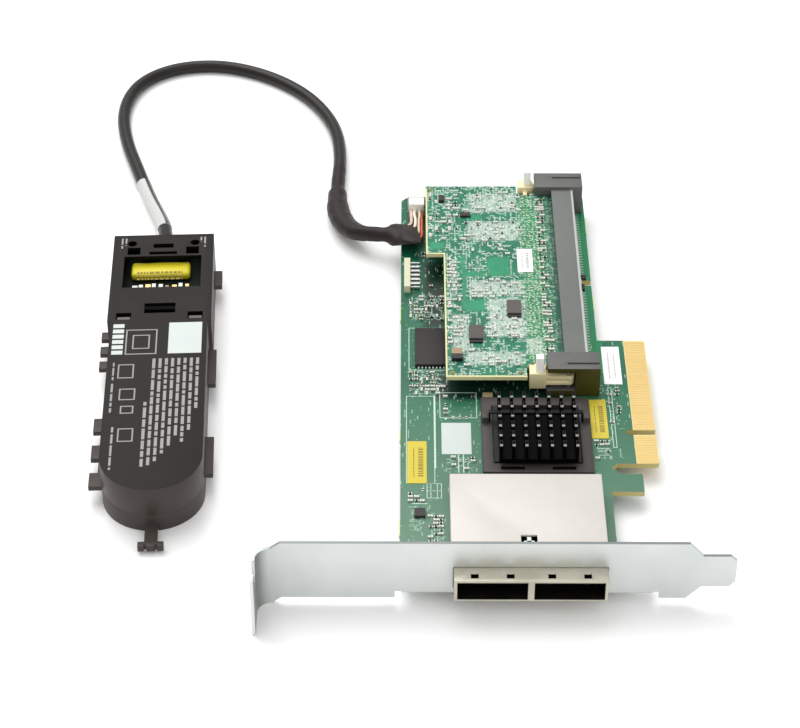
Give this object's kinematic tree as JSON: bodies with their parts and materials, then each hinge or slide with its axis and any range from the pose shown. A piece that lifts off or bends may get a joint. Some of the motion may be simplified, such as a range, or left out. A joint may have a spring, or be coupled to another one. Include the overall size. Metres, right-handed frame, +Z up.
{
  "type": "raid controller card",
  "caption": "Low-profile drive controller card with full-height bracket, external ports, finned cooler, latched cache module and a battery pack on a cable.",
  "frame": {"origin": "on the surface, under the middle of the card and its battery pack", "axes": "+X towards the board's edge contacts, +Y from the bracket to the board's far end, +Z up from the component side"},
  "size_m": [0.1754, 0.263, 0.0204],
  "materials": {
    "green_board": "green solder mask over glass-fibre laminate, satin",
    "green_module": "green solder mask over glass-fibre laminate, satin",
    "green_gauge": "green solder mask, satin",
    "gold": "gold-plated contacts",
    "plated_steel": "nickel-plated sheet steel, satin",
    "tin": "tin-plated sheet, satin",
    "nickel": "nickel-plated die casting",
    "screw_steel": "zinc-plated steel",
    "black_plastic": "black glass-filled plastic",
    "chip_black": "moulded package, matt black",
    "pad_grey": "grey thermal pad",
    "solder": "solder and tinned leads",
    "tinned_tails": "tinned contact tails",
    "black_anodised": "black anodised aluminium, bright cut tips",
    "frame_plastic": "dark grey plastic frame",
    "spring_steel": "dark spring steel",
    "socket_plastic": "dark grey glass-filled plastic",
    "ivory_plastic": "ivory plastic",
    "header_beige": "beige plastic",
    "white_plastic": "white nylon",
    "lead_wires": "insulated lead wires, red, orange and white",
    "bit_ceramic": "ceramic chip parts with tinned ends",
    "yellow_paper": "yellow sticker, matt",
    "white_paper": "white sticker, matt",
    "pack_plastic": "black moulded plastic, fine grain",
    "cell_steel": "nickel-plated steel cans",
    "yellow_block": "yellow block",
    "gauge_metal": "tinned parts",
    "gland_rubber": "black rubber strain relief",
    "cable_jacket": "black cable jacket",
    "shrink_sleeve": "black shrink sleeve",
    "wrap_paper": "white wrap label"
  },
  "bodies": {
    "card": {"battery_cable": "cable_jacket", "battery_cells": "cell_steel", "battery_cover": "pack_plastic", "battery_tray": "pack_plastic", "board_bits": "bit_ceramic", "board_header": "header_beige", "bracket": "plated_steel", "bracket_screws": "screw_steel", "cable_plug": "white_plastic", "cable_sleeve": "shrink_sleeve", "cable_wrap": "wrap_paper", "cache_module": "green_module", "cell_strap": "cell_steel", "contacts_bottom": "gold", "contacts_top": "gold", "controller_chip": "chip_black", "flash_chip": "chip_black", "flash_leads": "solder", "gauge_block": "yellow_block", "gauge_board": "green_gauge", "gauge_parts": "gauge_metal", "gauge_posts": "pack_plastic", "header_pins": "solder", "heat_sink": "black_anodised", "latch_pins": "screw_steel", "main_board": "green_board", "memory_chips": "chip_black", "module_bits": "bit_ceramic", "module_regulators": "chip_black", "module_socket": "socket_plastic", "plug_header": "white_plastic", "plug_leads": "lead_wires", "port_cage": "tin", "port_contacts": "gold", "port_insulators": "black_plastic", "port_nose": "nickel", "sink_frame": "frame_plastic", "sink_spring": "spring_steel", "socket_tails": "tinned_tails", "solder_balls": "solder", "solder_tails": "solder", "strain_relief": "gland_rubber", "thermal_pad": "pad_grey", "white_stickers": "white_paper", "yellow_stickers": "yellow_paper"},
    "front_latch": {"latch_front": "ivory_plastic"},
    "rear_latch": {"latch_rear": "ivory_plastic"}
  },
  "joints": [
    {"name": "front_latch_swing", "type": "hinge", "parent": "card", "child": "front_latch", "pos_m": [0.0466, -0.00238, 0.01065], "axis": [0, 0, 1], "range_deg": [0, 25]},
    {"name": "rear_latch_swing", "type": "hinge", "parent": "card", "child": "rear_latch", "pos_m": [0.0466, 0.08701, 0.01065], "axis": [0, 0, 1], "range_deg": [-25, 0]}
  ]
}
